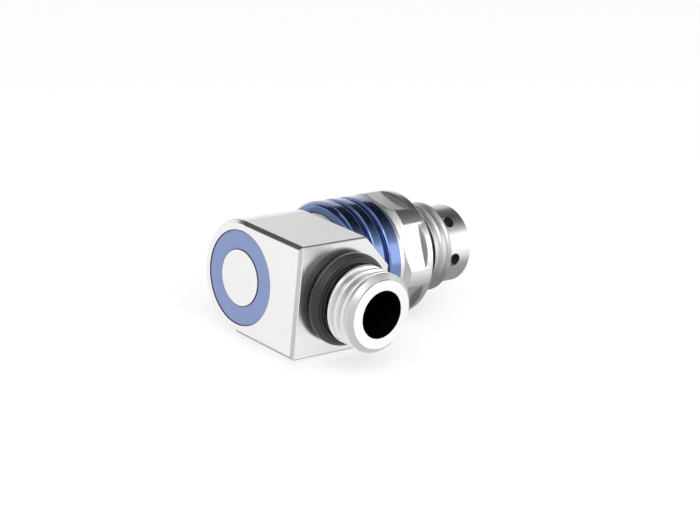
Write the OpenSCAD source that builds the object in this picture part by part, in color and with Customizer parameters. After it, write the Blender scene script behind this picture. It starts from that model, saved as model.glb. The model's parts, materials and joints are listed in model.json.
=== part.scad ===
// Liquid cooling quick coupling: an elbow block with a threaded port and a
// flat-face, ball-locked dry-break socket. The coupling axis is X, the port
// points to -Y and +Z is up. The origin is on the coupling axis, at the outer
// end of the socket bore, just inside the lead-in of the mouth. Stations along
// the coupling axis count from the closed left face of the elbow block.

/* [Elbow block] */
// Height of the block, and the diameter of its round back
block_h = 23; // [21:0.5:25]
// Length of the block along the coupling axis
block_l = 22.8; // [22.4:0.1:24]
// Coupling axis to the port face
block_front = 17.7; // [16:0.1:20]
// Size of the mitres at the top and bottom of the socket end
mitre = 6.6; // [5:0.1:7.5]
// Chamfer round the closed left face
face_chamfer = 0.65; // [0.3:0.05:1]
// Broken edge along the port face
edge_break = 0.2; // [0.1:0.05:0.4]
// Left face to the port axis
port_station = 11.6; // [10.5:0.1:12.5]
// Bore of the block along the coupling axis
flow_d = 10; // [8:0.1:10.6]
// Left face to the closed end of the flow bore
flow_end = 6; // [4:0.1:7]

/* [Port] */
// Crest diameter of the port thread
thread_d = 16; // [15:0.1:17]
// Pitch of the port thread
thread_pitch = 2; // [1.8:0.05:2.1]
// Depth of the thread groove
thread_depth = 0.95; // [0.5:0.05:1.1]
// Width of the groove at the crest
thread_groove_w = 1.44; // [0.9:0.02:1.6]
// Width of the groove at its root
thread_root_w = 0.4; // [0.1:0.05:0.6]
// Grooves on the stub
thread_grooves = 3; // [2:1:3]
// Port face to the end of the stub
stub_l = 11.6; // [11.3:0.1:13]
// Diameter of the undercut behind the thread
undercut_d = 12.3; // [11.8:0.1:13]
// Length of the undercut
undercut_l = 5; // [4:0.1:5.2]
// Chamfer at the end of the stub
stub_chamfer = 1.1; // [0.5:0.1:1.3]
// Bore of the port
port_d = 9.6; // [8:0.1:10]
// Section of the face seal on the port
port_seal_d = 3.2; // [2.6:0.1:3.6]

/* [Colour ring] */
// Outer diameter of the marker ring
ring_od = 19; // [16:0.1:20]
// Inner diameter of the marker ring
ring_id = 11.4; // [9:0.1:13]
// Depth of the ring's groove
ring_groove = 1.6; // [1:0.1:2]
// How far the ring sits below the face
ring_sink = 0.15; // [0.05:0.05:0.4]

/* [Ribbed sleeve] */
// How far the ribs stand inside the collar's diameter, all round
rib_inset = 0.1; // [0:0.05:0.3]
// Station of the sleeve's left end
rib_start = 19.85; // [19.5:0.05:20.2]
// Radial drop of the lead chamfer on the first rib
lead_drop = 0.7; // [0.3:0.05:1]
// Length of the lead chamfer
lead_l = 1.05; // [0.5:0.05:1.5]
// Number of ribs
ribs = 3; // [2:1:4]
// Rib to rib
rib_pitch = 3.65; // [2.4:0.05:3.7]
// Width of the groove between ribs
rib_gap = 1.2; // [0.8:0.05:1.5]
// Depth of the groove between ribs
rib_depth = 1.5; // [0.8:0.05:1.6]
// Chamfer on the left rim of a rib
rib_chamfer = 0.3; // [0.1:0.05:0.5]
// Wall under the grooves
rib_wall = 0.75; // [0.5:0.05:0.9]

/* [Hex body] */
// Wall of the collar round the release sleeve's cavity
collar_wall = 2.5; // [2.2:0.1:3]
// Depth of the wrench flats in the collar
flat_depth = 0.8; // [0.6:0.05:1]
// Turn of the flats about the axis
flat_turn = 23.3; // [0:0.1:59]
// Station of the collar's left shoulder
collar_start = 31.35; // [31:0.05:31.8]
// Step from the collar down to the neck beside the ribbed sleeve
neck_drop = 1; // [0.8:0.1:1.4]
// Length of that neck
neck_l = 1.55; // [1:0.05:2]
// Shoulder to the end of the flats
flats_l = 6.6; // [5.5:0.1:6.8]
// Shoulder to the right end of the collar
collar_l = 8.75; // [8.6:0.05:9.5]
// Lean of the shoulders where the flats end
shoulder_lean = 33; // [20:1:45]
// Chamfer at the right end
collar_chamfer = 0.3; // [0.1:0.05:0.5]
// Gap between the grip and the collar
cavity_gap = 1; // [0.8:0.05:1.3]
// Thickness of the web between the barrel's flange and the spring cavity
web_t = 2.1; // [1.6:0.1:2.4]
// Wall of the skirt under the ribbed sleeve
skirt_wall = 1.35; // [1.1:0.05:1.6]

/* [Inner barrel] */
// Diameter of the socket bore
socket_d = 10.4; // [10:0.1:10.8]
// Wall of the barrel
barrel_wall = 1.6; // [1.4:0.05:1.8]
// Station of the barrel's rear face
barrel_start = 28.25; // [28:0.05:28.6]
// Thickness of the barrel's flange
barrel_flange_t = 1.45; // [1.2:0.05:1.6]
// Station of the mouth
mouth_station = 54.7; // [53:0.1:57]
// Lead-in chamfer of the mouth
mouth_chamfer = 0.6; // [0.3:0.05:0.8]
// How much wider the rear bore is
rear_bore_step = 0.4; // [0.2:0.05:0.6]
// Station where the rear bore steps down
valve_stop_station = 38.6; // [38:0.1:39]
// Width of the groove for the mouth seal
mouth_groove_w = 1.2; // [1:0.05:1.5]
// Depth of that groove
mouth_groove_t = 0.9; // [0.7:0.05:1]
// Balls to the mouth seal's groove
ball_to_groove = 2.6; // [2.2:0.1:3.2]
// Section of the mouth seal
mouth_seal_section = 0.82; // [0.6:0.02:0.9]

/* [Ball lock] */
// Number of locking balls
balls = 6; // [3:1:6]
// Diameter of a ball
ball_d = 2.5; // [2.2:0.1:2.7]
// Station of the ball ring
ball_station = 44.6; // [44.4:0.1:45]
// How far a ball stands into the locked socket bore
ball_reach = 0.9; // [0.6:0.05:1]
// Right end of the cone to the right side of a released ball
ball_inset = 0.2; // [0.1:0.05:0.4]
// Travel of the release sleeve
release_travel = 3; // [2.6:0.1:3.2]
// Turn of the ball ring about the axis
ball_turn = 23.5; // [0:0.5:59]

/* [Release sleeve] */
// Wall of the grip outside the wide end of its cone
grip_wall = 1.03; // [0.9:0.01:1.3]
// Wall of the nose
nose_wall = 1.25; // [1:0.05:1.5]
// Station where the bevel to the nose starts
bevel_station = 48.2; // [47.8:0.1:48.6]
// Length of that bevel
bevel_l = 1.3; // [1:0.1:1.6]
// Grip grooves
grip_grooves = 3; // [2:1:3]
// Groove to groove
grip_pitch = 2.05; // [1.8:0.05:2.2]
// Bevel to the first groove
grip_offset = 0.85; // [0.5:0.05:1.2]
// Width of a grip groove
grip_groove_w = 0.8; // [0.4:0.05:1]
// Width of a grip groove at its floor
grip_floor_w = 0.2; // [0.1:0.05:0.35]
// Depth of a grip groove
grip_groove_t = 0.45; // [0.2:0.05:0.55]
// Diameter of the windows in the nose
window_d = 2.8; // [1.5:0.1:3]
// Number of windows
windows = 6; // [2:1:8]
// Station of the windows
window_station = 50.5; // [50.2:0.1:51.5]
// Turn of the windows about the axis
window_turn = -6.5; // [-30:0.5:30]
// Thickness of the rear flange
sleeve_flange_t = 1.6; // [1.2:0.1:2]
// Depth of the spring pocket in the rear of the sleeve
spring_pocket = 2.75; // [2.2:0.05:3]

/* [Retaining ring] */
// Radial width of the retaining ring
clip_w = 1.45; // [1.2:0.05:1.6]
// Depth of the ring's groove in the collar
clip_groove_t = 0.7; // [0.5:0.05:0.9]
// Thickness of the ring
clip_t = 0.75; // [0.6:0.05:0.9]
// Right end of the collar to the ring's groove
clip_inset = 0.9; // [0.7:0.05:1.2]
// Opening of the ring, in degrees
clip_gap_angle = 26; // [10:1:50]

/* [Springs] */
// Wire of the release sleeve's spring
sleeve_wire = 0.9; // [0.7:0.05:0.95]
// Gap between that spring and the barrel
sleeve_coil_gap = 0.4; // [0.3:0.05:0.6]
// Turns of that spring
sleeve_turns = 4; // [3:0.5:5]
// Wire of the valve spring
valve_wire = 0.8; // [0.6:0.05:0.85]
// Gap between that spring and the valve sleeve round it
valve_coil_gap = 0.15; // [0.1:0.05:0.3]
// Turns of that spring
valve_turns = 5; // [4:0.5:5.5]

/* [Valve] */
// Diameter of the stem's head
head_d = 6.2; // [5.6:0.1:6.6]
// Thickness of the head
head_t = 1.9; // [1.7:0.1:2.2]
// Station of the flat face of the closed valve
valve_station = 42.6; // [42.3:0.1:42.8]
// Diameter of the stem
stem_d = 4; // [3.4:0.1:4.4]
// Diameter of the stem's threaded tail
tail_d = 2.5; // [2:0.1:3]
// How far the stem's tail stands out of its nut
tail_out = 0.15; // [0.05:0.05:0.4]
// Length of the valve sleeve
valve_l = 5.6; // [5.4:0.1:6]
// Bore length of the valve sleeve around the head
valve_land = 2.5; // [2.2:0.1:3]
// Travel of the valve sleeve
valve_travel = 4; // [3:0.1:4.4]
// Broken edge of the valve sleeve's face
valve_edge = 0.15; // [0.05:0.05:0.3]
// Wall of the valve sleeve round its spring
valve_wall = 0.7; // [0.5:0.05:0.75]
// Length of the rear collar of the valve sleeve
valve_collar_l = 1.5; // [1:0.1:1.8]
// Section of the seals on the stem and the valve sleeve
valve_seal_d = 0.75; // [0.6:0.05:0.85]

/* [Stem carrier] */
// How far the carrier's flange stands outside the barrel's rear bore
carrier_rim = 0.4; // [0.3:0.05:0.6]
// Thickness of the carrier's flange
carrier_flange_t = 0.95; // [0.8:0.05:1.2]
// Length of the carrier
carrier_l = 2.25; // [2:0.05:2.6]
// Number of flow holes
carrier_holes = 5; // [3:1:5]
// Diameter of a flow hole
carrier_hole_d = 2.2; // [1.6:0.1:2.2]
// Distance across the flats of the stem nut
nut_af = 5; // [4.6:0.1:5.6]
// Thickness of the stem nut
nut_t = 1.7; // [1.4:0.1:2]
// Section of the seal between the block and the hex body
joint_seal_d = 0.9; // [0.7:0.05:1.1]
// Root of the block's spigot to that seal
joint_seal_offset = 3.5; // [2:0.1:4.5]

/* [Fits] */
// Radial clearance of a piece that slides
run_gap = 0.05; // [0.02:0.01:0.08]
// Clearance of a piece that is fixed in its seat
fit_gap = 0.05; // [0.02:0.01:0.08]
// Free space round a piece that moves past another
free_gap = 0.25; // [0.2:0.01:0.3]

/* [Hidden] */
$fn = 96;

// Overshoot of a cutting tool beyond the face it cuts
over = 1;
// Width of a seal's groove, as a share of the seal's section
seal_room = 1.3;
// Sides and steps of a spring's wire
wire_sides = 8;
coil_steps = 20;
// Turns at each end of a spring that lie closed
closed_turns = 0.75;
// Rise of a closed turn, as a share of the wire
coil_lift = 1.04;

// Colours
steel = "gainsboro";
bright = "whitesmoke";
blue = [0.38, 0.47, 0.72];
rubber = [0.1, 0.1, 0.1];

// Radii of the barrel and what runs on it
socket_r = socket_d / 2;
barrel_r = socket_r + barrel_wall;
rear_bore_r = socket_r + rear_bore_step;
land_r = barrel_r + run_gap;
nose_r = land_r + nose_wall;
valve_r = socket_r - run_gap;
valve_pocket_r = valve_r - valve_wall;
valve_coil_r = valve_pocket_r - valve_coil_gap - valve_wire / 2;
sleeve_coil_r = barrel_r + sleeve_coil_gap + sleeve_wire / 2;
pocket_r = sleeve_coil_r + sleeve_wire / 2 + free_gap;
carrier_r = rear_bore_r + carrier_rim;
carrier_hole_r = valve_pocket_r - carrier_hole_d / 2 - fit_gap;

// Stations along the coupling axis
origin_station = mouth_station - mouth_chamfer;
pocket_station = rib_start - free_gap;
spigot_end = barrel_start - fit_gap;
rib_end = collar_start - fit_gap;
web_start = barrel_start + barrel_flange_t + fit_gap;
cavity_start = web_start + web_t;
collar_end = collar_start + collar_l;
clip_start = collar_end - clip_inset - clip_t - 2 * fit_gap;
sleeve_front_stop = clip_start;
sleeve_rear = sleeve_front_stop - sleeve_flange_t;
sleeve_seat = sleeve_front_stop + spring_pocket - sleeve_flange_t;
carrier_front = barrel_start + carrier_l;
head_back = valve_station - head_t;
valve_rear = valve_station - valve_l;
valve_seat = valve_station - valve_land;
valve_back_stop = valve_rear - valve_travel - fit_gap;
sleeve_back_stop = sleeve_rear - release_travel - fit_gap;
tail_end = barrel_start - nut_t - fit_gap - tail_out;
mouth_groove_station = ball_station + ball_to_groove;
joint_seal_station = pocket_station + joint_seal_offset;

// Release cone: a ball climbs it by ball_reach while the sleeve travels
cone_slope = (ball_reach + 2 * run_gap) / release_travel;
cone_angle = atan(cone_slope);
ball_rest_r = socket_r - ball_reach + ball_d / 2;
cone_at_ball = ball_rest_r + (ball_d / 2 + run_gap) / cos(cone_angle);
cone_start = ball_station - (cone_at_ball - land_r) / cone_slope;
cone_end = ball_station + release_travel + ball_d / 2 - ball_inset;
cone_end_r = land_r + (cone_end - cone_start) * cone_slope;
nose_start = bevel_station + bevel_l;

// Radii of the grip and of what lies outside it
grip_r = cone_end_r + grip_wall;
cavity_r = grip_r + cavity_gap;
collar_r = cavity_r + collar_wall;
flat_r = collar_r - flat_depth;
neck_r = collar_r - neck_drop;
rib_r = collar_r - rib_inset;
skirt_r = rib_r - rib_depth - rib_wall - fit_gap;
joint_r = skirt_r - skirt_wall - fit_gap;
clip_outer_r = cavity_r + clip_groove_t - fit_gap;

// Puts a shape drawn up +Z from the left face onto the coupling axis
module on_axis(station = 0)
    translate([station - origin_station, 0, 0]) rotate([0, 90, 0]) children();

// Turns a shape drawn along +X to an angle about the coupling axis, counted
// from the port side towards the top
module turned_to(angle)
    rotate([0, 0, -90 - angle]) children();

// A body of revolution about the coupling axis from [radius, station] points
module turned(points)
    on_axis() rotate_extrude() polygon(points);

// A ring of round section about the coupling axis
module seal_ring(mean_r, section_d, station)
    on_axis(station) rotate_extrude() translate([mean_r, 0]) circle(d = section_d);

// A tube on the coupling axis, for bores and grooves that are cut away
module cut_tube(inner_r, outer_r, from, to)
    on_axis(from) difference() {
        cylinder(r = outer_r, h = to - from);
        if (inner_r > 0)
            translate([0, 0, -over]) cylinder(r = inner_r, h = to - from + 2 * over);
    }

// Height of a spring's wire centre after t of its turns, with closed ends
function coil_rise(t, turns, height, wire) =
    let (closed_rise = coil_lift * wire * closed_turns)
    t < closed_turns ? closed_rise * t / closed_turns
    : t > turns - closed_turns ? height - wire - closed_rise * (turns - t) / closed_turns
    : closed_rise + (height - wire - 2 * closed_rise) * (t - closed_turns)
        / (turns - 2 * closed_turns);

// A helical spring that stands on z = 0
module coil_spring(mean_r, wire, height, turns) {
    steps = round(turns * coil_steps);
    points = [for (i = [0:steps], k = [0:wire_sides - 1])
        let (t = i / coil_steps, a = 360 * t, b = 360 * k / wire_sides,
             r = mean_r + wire / 2 * cos(b))
        [r * cos(a), r * sin(a),
         wire / 2 + coil_rise(t, turns, height, wire) + wire / 2 * sin(b)]];
    sides = [for (i = [0:steps - 1], k = [0:wire_sides - 1])
        let (n = (k + 1) % wire_sides, a = i * wire_sides, b = a + wire_sides)
        [a + k, b + k, b + n, a + n]];
    first = [for (k = [0:wire_sides - 1]) k];
    last = [for (k = [wire_sides - 1:-1:0]) steps * wire_sides + k];
    polyhedron(points, concat([first], sides, [last]));
}

// Side view of the block: mitred at the socket end, chamfered at the left
module block_side()
    polygon([
        [0, face_chamfer - block_h / 2], [face_chamfer, -block_h / 2],
        [block_l - mitre, -block_h / 2], [block_l, mitre - block_h / 2],
        [block_l, block_h / 2 - mitre], [block_l - mitre, block_h / 2],
        [face_chamfer, block_h / 2], [0, block_h / 2 - face_chamfer]]);

// Plan view of the square front half of the block
module block_plan()
    polygon([
        [0, 0], [0, face_chamfer - block_front], [face_chamfer, -block_front],
        [block_l, -block_front], [block_l, 0]]);

// End view of the square front half, with broken edges at the port face
module block_end()
    polygon([
        [0, -block_h / 2], [edge_break - block_front, -block_h / 2],
        [-block_front, edge_break - block_h / 2], [-block_front, block_h / 2 - edge_break],
        [edge_break - block_front, block_h / 2], [0, block_h / 2]]);

module block_shell() {
    translate([-origin_station, 0, 0]) intersection() {
        translate([0, block_h, 0]) rotate([90, 0, 0])
            linear_extrude(2 * (block_h + block_front)) block_side();
        translate([0, 0, -block_h]) linear_extrude(2 * block_h) block_plan();
        rotate([90, 0, 90]) linear_extrude(block_l) block_end();
    }
    intersection() {
        turned([[0, 0], [block_h / 2 - face_chamfer, 0], [block_h / 2, face_chamfer],
                [block_h / 2, block_l], [0, block_l]]);
        translate([-origin_station, block_h, 0]) rotate([90, 0, 0])
            linear_extrude(2 * block_h) block_side();
    }
}

// The port's stub with its undercut and thread lands, along -Y
module port_stub() {
    crest_r = thread_d / 2;
    root_r = crest_r - thread_depth;
    first = undercut_l + (stub_l - undercut_l - stub_chamfer
        - (thread_grooves - 1) * thread_pitch) / 2;
    grooves = [for (i = [0:thread_grooves - 1])
        let (c = first + i * thread_pitch)
        each [[crest_r, c - thread_groove_w / 2], [root_r, c - thread_root_w / 2],
              [root_r, c + thread_root_w / 2], [crest_r, c + thread_groove_w / 2]]];
    translate([port_station - origin_station, -block_front, 0]) rotate([90, 0, 0])
        rotate_extrude() polygon(concat(
            [[0, -over], [undercut_d / 2, -over], [undercut_d / 2, undercut_l],
             [crest_r, undercut_l]],
            grooves,
            [[crest_r, stub_l - stub_chamfer], [crest_r - stub_chamfer, stub_l], [0, stub_l]]));
}

module elbow_block() {
    color(steel) difference() {
        union() {
            difference() {
                block_shell();
                cut_tube(0, rib_r + free_gap, pocket_station, block_l + over);
            }
            turned([[0, pocket_station - over], [joint_r, pocket_station - over],
                    [joint_r, spigot_end], [0, spigot_end]]);
            port_stub();
        }
        cut_tube(0, flow_d / 2, flow_end, spigot_end + over);
        translate([port_station - origin_station, 0, 0]) rotate([90, 0, 0])
            cylinder(d = port_d, h = block_front + stub_l + over);
        cut_tube(ring_id / 2, ring_od / 2, -over, ring_groove);
        cut_tube(joint_r - joint_seal_d, joint_r + over,
            joint_seal_station - joint_seal_d * seal_room / 2,
            joint_seal_station + joint_seal_d * seal_room / 2);
    }
}

module colour_ring() {
    color(blue) turned([
        [ring_id / 2 + fit_gap, ring_sink], [ring_od / 2 - fit_gap, ring_sink],
        [ring_od / 2 - fit_gap, ring_groove - fit_gap],
        [ring_id / 2 + fit_gap, ring_groove - fit_gap]]);
}

module port_seal() {
    color(rubber)
        translate([port_station - origin_station, -block_front - port_seal_d / 2 - fit_gap, 0])
            rotate([90, 0, 0]) rotate_extrude()
                translate([(undercut_d + port_seal_d) / 2 + fit_gap, 0])
                    circle(d = port_seal_d);
}

module ribbed_sleeve() {
    floor_r = rib_r - rib_depth;
    grooves = [for (i = [1:ribs - 1])
        let (left = rib_start + lead_l + i * rib_pitch)
        each [[rib_r, left - rib_gap], [floor_r, left - rib_gap], [floor_r, left],
              [rib_r - rib_chamfer, left], [rib_r, left + rib_chamfer]]];
    color(blue) turned(concat(
        [[skirt_r + fit_gap, rib_start], [rib_r - lead_drop, rib_start],
         [rib_r, rib_start + lead_l]],
        grooves,
        [[rib_r, rib_end], [skirt_r + fit_gap, rib_end]]));
}

// The tool that mills one wrench flat, with a leaning shoulder at its far end
module flat_cutter() {
    depth = flat_depth + over;
    lean = depth * tan(shoulder_lean);
    translate([flat_r, collar_r, 0]) rotate([90, 0, 0])
        linear_extrude(2 * collar_r)
            polygon([[0, 0], [depth, 0], [depth, flats_l + lean], [0, flats_l]]);
}

module hex_body() {
    color(steel) difference() {
        turned([
            [joint_r + fit_gap, rib_start], [skirt_r, rib_start], [skirt_r, collar_start],
            [neck_r, collar_start], [neck_r, collar_start + neck_l],
            [collar_r, collar_start + neck_l + neck_drop],
            [collar_r, collar_end - collar_chamfer],
            [collar_r - collar_chamfer, collar_end], [cavity_r, collar_end],
            [cavity_r, sleeve_back_stop], [pocket_r, sleeve_back_stop],
            [pocket_r, cavity_start], [barrel_r + fit_gap, cavity_start],
            [barrel_r + fit_gap, web_start], [joint_r + fit_gap, web_start]]);
        on_axis(collar_start) for (i = [0:5]) turned_to(flat_turn + 60 * i) flat_cutter();
        cut_tube(0, cavity_r + clip_groove_t, clip_start,
            clip_start + clip_t + 2 * fit_gap);
    }
}

module joint_seal() {
    color(rubber) seal_ring(joint_r + (fit_gap - joint_seal_d) / 2, joint_seal_d,
        joint_seal_station);
}

// One hole for a locking ball, with a conical seat that stops it at its reach
module ball_hole() {
    mouth_r = ball_d / 2 + run_gap;
    below = ball_rest_r - socket_r;
    seat_r = min(sqrt(pow(ball_d / 2, 2) - pow(below, 2)) + fit_gap, mouth_r);
    rotate([0, 90, 0]) rotate_extrude() polygon([
        [0, socket_r - over], [seat_r, socket_r - over], [seat_r, socket_r],
        [mouth_r, ball_rest_r], [mouth_r, barrel_r + over], [0, barrel_r + over]]);
}

module inner_barrel() {
    color(bright) difference() {
        turned([
            [rear_bore_r, barrel_start + carrier_flange_t + fit_gap],
            [carrier_r + fit_gap, barrel_start + carrier_flange_t + fit_gap],
            [carrier_r + fit_gap, barrel_start], [joint_r, barrel_start],
            [joint_r, barrel_start + barrel_flange_t], [barrel_r, barrel_start + barrel_flange_t],
            [barrel_r, mouth_station - mouth_chamfer / 2],
            [barrel_r - mouth_chamfer / 2, mouth_station],
            [socket_r + mouth_chamfer, mouth_station], [socket_r, origin_station],
            [socket_r, mouth_groove_station + mouth_groove_w],
            [socket_r + mouth_groove_t, mouth_groove_station + mouth_groove_w],
            [socket_r + mouth_groove_t, mouth_groove_station],
            [socket_r, mouth_groove_station], [socket_r, valve_stop_station],
            [rear_bore_r, valve_stop_station]]);
        on_axis(ball_station) for (i = [0:balls - 1])
            turned_to(ball_turn + 360 / balls * i) ball_hole();
    }
}

module mouth_seal() {
    color(rubber) seal_ring(socket_r + mouth_groove_t - fit_gap / 2 - mouth_seal_section / 2,
        mouth_seal_section, mouth_groove_station + mouth_groove_w / 2);
}

module release_sleeve() {
    floor_r = grip_r - grip_groove_t;
    first = bevel_station - grip_offset - (grip_grooves - 1) * grip_pitch;
    grooves = [for (i = [0:grip_grooves - 1])
        let (c = first + i * grip_pitch)
        each [[grip_r, c - grip_groove_w / 2], [floor_r, c - grip_floor_w / 2],
              [floor_r, c + grip_floor_w / 2], [grip_r, c + grip_groove_w / 2]]];
    color(steel) difference() {
        turned(concat(
            [[pocket_r, sleeve_rear], [cavity_r - 2 * run_gap, sleeve_rear],
             [cavity_r - 2 * run_gap, sleeve_front_stop - fit_gap],
             [grip_r, sleeve_front_stop - fit_gap]],
            grooves,
            [[grip_r, bevel_station], [nose_r, nose_start],
             [nose_r, mouth_station], [land_r, mouth_station],
             [land_r, nose_start - fit_gap], [cone_end_r, cone_end], [land_r, cone_start],
             [land_r, sleeve_seat], [pocket_r, sleeve_seat]]));
        on_axis(window_station) for (i = [0:windows - 1])
            turned_to(window_turn + 360 / windows * i) rotate([0, 90, 0])
                cylinder(d = window_d, h = nose_r + over);
    }
}

module sleeve_spring() {
    color(bright) on_axis(cavity_start + fit_gap)
        coil_spring(sleeve_coil_r, sleeve_wire, sleeve_seat - cavity_start - 2 * fit_gap,
            sleeve_turns);
}

module retaining_ring() {
    color(steel) difference() {
        cut_tube(clip_outer_r - clip_w, clip_outer_r, clip_start + fit_gap,
            clip_start + fit_gap + clip_t);
        on_axis(clip_start) turned_to(-clip_gap_angle) translate([0, 0, -over])
            linear_extrude(clip_t + 2 * over)
                polygon([[0, 0], [2 * collar_r, 0],
                         2 * collar_r * [cos(clip_gap_angle), sin(clip_gap_angle)]]);
    }
}

module locking_ball(i) {
    color(bright) on_axis(ball_station) turned_to(ball_turn + 360 / balls * i)
        translate([ball_rest_r, 0, 0]) sphere(d = ball_d);
}

module valve_sleeve() {
    rear_r = rear_bore_r - run_gap;
    bore_r = head_d / 2 + run_gap;
    groove_l = valve_seal_d * seal_room;
    groove = valve_station - (valve_land - groove_l) / 2;
    color(bright) turned([
        [bore_r, valve_seat], [valve_pocket_r, valve_seat], [valve_pocket_r, valve_rear],
        [rear_r, valve_rear], [rear_r, valve_rear + valve_collar_l],
        [valve_r, valve_rear + valve_collar_l],
        [valve_r, groove - groove_l], [valve_r - valve_seal_d, groove - groove_l],
        [valve_r - valve_seal_d, groove], [valve_r, groove],
        [valve_r, valve_station - valve_edge],
        [valve_r - valve_edge, valve_station], [bore_r, valve_station]]);
}

module valve_seal() {
    groove_l = valve_seal_d * seal_room;
    color(rubber) seal_ring(socket_r - run_gap / 2 - valve_seal_d / 2, valve_seal_d,
        valve_station - valve_land / 2);
}

module valve_spring() {
    color(bright) on_axis(carrier_front + fit_gap)
        coil_spring(valve_coil_r, valve_wire, valve_seat - carrier_front - 2 * fit_gap,
            valve_turns);
}

module valve_stem() {
    head_r = head_d / 2;
    groove_l = valve_seal_d * seal_room;
    groove = valve_station - (head_t - groove_l) / 2;
    color(bright) turned([
        [0, tail_end], [tail_d / 2, tail_end],
        [tail_d / 2, carrier_front + fit_gap], [stem_d / 2, carrier_front + fit_gap],
        [stem_d / 2, head_back - (head_r - stem_d / 2)], [head_r, head_back],
        [head_r, groove - groove_l], [head_r - valve_seal_d, groove - groove_l],
        [head_r - valve_seal_d, groove], [head_r, groove],
        [head_r, valve_station], [0, valve_station]]);
}

module stem_seal() {
    color(rubber) seal_ring(head_d / 2 + run_gap / 2 - valve_seal_d / 2, valve_seal_d,
        valve_station - head_t / 2);
}

module stem_carrier() {
    color(steel) difference() {
        turned([
            [tail_d / 2 + fit_gap, barrel_start], [carrier_r, barrel_start],
            [carrier_r, barrel_start + carrier_flange_t],
            [rear_bore_r - fit_gap, barrel_start + carrier_flange_t],
            [rear_bore_r - fit_gap, valve_back_stop], [valve_pocket_r, valve_back_stop],
            [valve_pocket_r, carrier_front], [tail_d / 2 + fit_gap, carrier_front]]);
        on_axis(barrel_start - over) for (i = [0:carrier_holes - 1])
            rotate([0, 0, 360 / carrier_holes * i]) translate([carrier_hole_r, 0, 0])
                cylinder(d = carrier_hole_d, h = carrier_l + over + fit_gap);
    }
}

module stem_nut() {
    color(steel) on_axis(barrel_start - nut_t - fit_gap) difference() {
        cylinder(d = nut_af / cos(30), h = nut_t, $fn = 6);
        translate([0, 0, -over]) cylinder(d = tail_d + 2 * fit_gap, h = nut_t + 2 * over);
    }
}

elbow_block();
colour_ring();
port_seal();
ribbed_sleeve();
hex_body();
joint_seal();
inner_barrel();
mouth_seal();
release_sleeve();
sleeve_spring();
retaining_ring();
valve_sleeve();
valve_seal();
valve_spring();
valve_stem();
stem_seal();
stem_carrier();
stem_nut();
for (i = [1:balls])
    locking_ball(i - 1);
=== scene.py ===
"""Looks of a liquid cooling quick coupling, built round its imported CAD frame.

Pieces and the camera are given in millimetres, lamps, cards and the floor in
metres. The coupling axis is X, the threaded port points to -Y and +Z is up.
"""

from __future__ import annotations

import json
import logging
import math
from dataclasses import dataclass, field
from enum import Enum

import bmesh
import bpy
from mathutils import Matrix, Vector

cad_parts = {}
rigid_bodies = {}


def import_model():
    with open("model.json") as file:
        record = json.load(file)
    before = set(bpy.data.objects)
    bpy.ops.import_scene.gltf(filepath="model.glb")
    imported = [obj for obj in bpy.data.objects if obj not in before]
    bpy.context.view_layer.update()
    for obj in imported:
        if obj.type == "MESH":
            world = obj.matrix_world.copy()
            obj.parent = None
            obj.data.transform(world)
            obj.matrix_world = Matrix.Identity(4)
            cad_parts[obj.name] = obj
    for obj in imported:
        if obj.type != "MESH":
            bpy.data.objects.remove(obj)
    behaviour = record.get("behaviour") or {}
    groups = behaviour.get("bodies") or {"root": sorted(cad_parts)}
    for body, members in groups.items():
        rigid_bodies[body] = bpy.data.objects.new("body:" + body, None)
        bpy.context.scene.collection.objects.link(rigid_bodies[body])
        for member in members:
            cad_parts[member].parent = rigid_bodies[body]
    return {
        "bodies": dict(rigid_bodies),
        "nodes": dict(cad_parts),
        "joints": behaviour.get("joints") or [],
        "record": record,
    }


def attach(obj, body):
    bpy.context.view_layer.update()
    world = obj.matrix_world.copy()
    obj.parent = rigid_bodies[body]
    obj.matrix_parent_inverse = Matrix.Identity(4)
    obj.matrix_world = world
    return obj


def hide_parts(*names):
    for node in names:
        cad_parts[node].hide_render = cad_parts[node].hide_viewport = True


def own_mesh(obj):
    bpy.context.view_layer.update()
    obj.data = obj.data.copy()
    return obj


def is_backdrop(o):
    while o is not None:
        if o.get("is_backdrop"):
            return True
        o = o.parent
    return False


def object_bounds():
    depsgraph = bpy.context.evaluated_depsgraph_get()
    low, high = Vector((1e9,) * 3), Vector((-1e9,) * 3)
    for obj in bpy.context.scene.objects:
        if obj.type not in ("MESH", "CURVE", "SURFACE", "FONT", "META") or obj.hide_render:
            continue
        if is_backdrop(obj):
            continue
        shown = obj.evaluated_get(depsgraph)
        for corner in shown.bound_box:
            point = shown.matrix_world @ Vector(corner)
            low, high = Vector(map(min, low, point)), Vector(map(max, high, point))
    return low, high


LOG = logging.getLogger("coupling")

MM = 0.001
PORT_X = -42.5
PORT_FACE_Y = -17.7
STUB_START = 5.0

WELD = 0.0005 * MM
CUT_SLACK = 0.0001 * MM
FLAT_DEGREES = 0.6
ROUND_DEGREES = 24.0
SMOOTH_DEGREES = 40.0
COIL_DEGREES = 60.0
SOFT_STEPS = 5

GRAIN_DEPTH = 0.02 * MM
DRAWN_STRETCH = 0.06
WHITE = (1.0, 1.0, 1.0, 1.0)
LAMP_AIM = (-0.025, -0.008, 0.0)
FLOOR_GAP = 0.05 * MM
FLOOR_REACH = 6.0


class Axis(Enum):
    """The two axes that pieces of the coupling are turned about."""

    COUPLING = (1.0, 0.0, 0.0)
    PORT = (0.0, -1.0, 0.0)

    @property
    def vector(self) -> Vector:
        """The axis as a unit vector."""
        return Vector(self.value)

    @property
    def origin(self) -> Vector:
        """A point on the axis, in millimetres."""
        return Vector((PORT_X if self is Axis.PORT else 0.0, 0.0, 0.0))


class Grain(Enum):
    """How the surface of a piece was finished."""

    TURNED = "turned"
    MILLED = "milled"
    DRAWN = "drawn"


# ---------------------------------------------------------------- shader tools


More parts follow.
